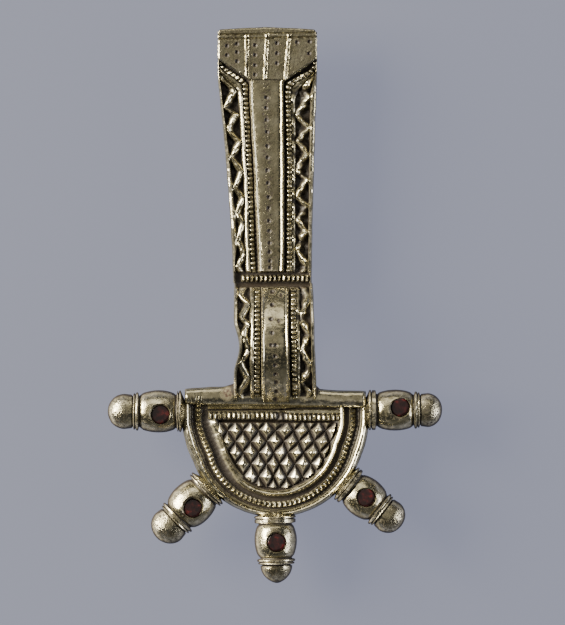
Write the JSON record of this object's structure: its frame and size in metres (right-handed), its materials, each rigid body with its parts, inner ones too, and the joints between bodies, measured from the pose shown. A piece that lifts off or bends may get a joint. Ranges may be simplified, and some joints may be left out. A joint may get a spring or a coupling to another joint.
{
  "type": "bow brooch",
  "caption": "Cast bow brooch with a tapering foot, low arched bow, half-round knobbed head plate, set round garnets, and a sprung pin behind.",
  "frame": {"origin": "on the surface the brooch lies on, under the middle of its bounding box", "axes": "+Z out of the decorated front, +Y toward the end of the foot, +X to the right seen from the front"},
  "size_m": [0.0518, 0.0862, 0.0135],
  "materials": {
    "silver_gilt": "cast silver, gilding worn to a soft olive grey, grime in the carving",
    "pin_bronze": "dull brown bronze wire",
    "garnet_red": "polished, dark red, nearly black"
  },
  "bodies": {
    "brooch": {"brooch_body": "silver_gilt", "garnet_left": "garnet_red", "garnet_right": "garnet_red", "garnet_lower_left": "garnet_red", "garnet_lower_right": "garnet_red", "garnet_bottom": "garnet_red", "pin_axle": "pin_bronze"},
    "pin": {"spring_pin": "pin_bronze"}
  },
  "joints": [
    {"name": "pin_hinge", "type": "hinge", "parent": "brooch", "child": "pin", "pos_m": [0.003, -0.01968, 0.0026], "axis": [-1, 0, 0], "range_deg": [0, 60], "stiffness_Nm_per_rad": 0.02}
  ]
}
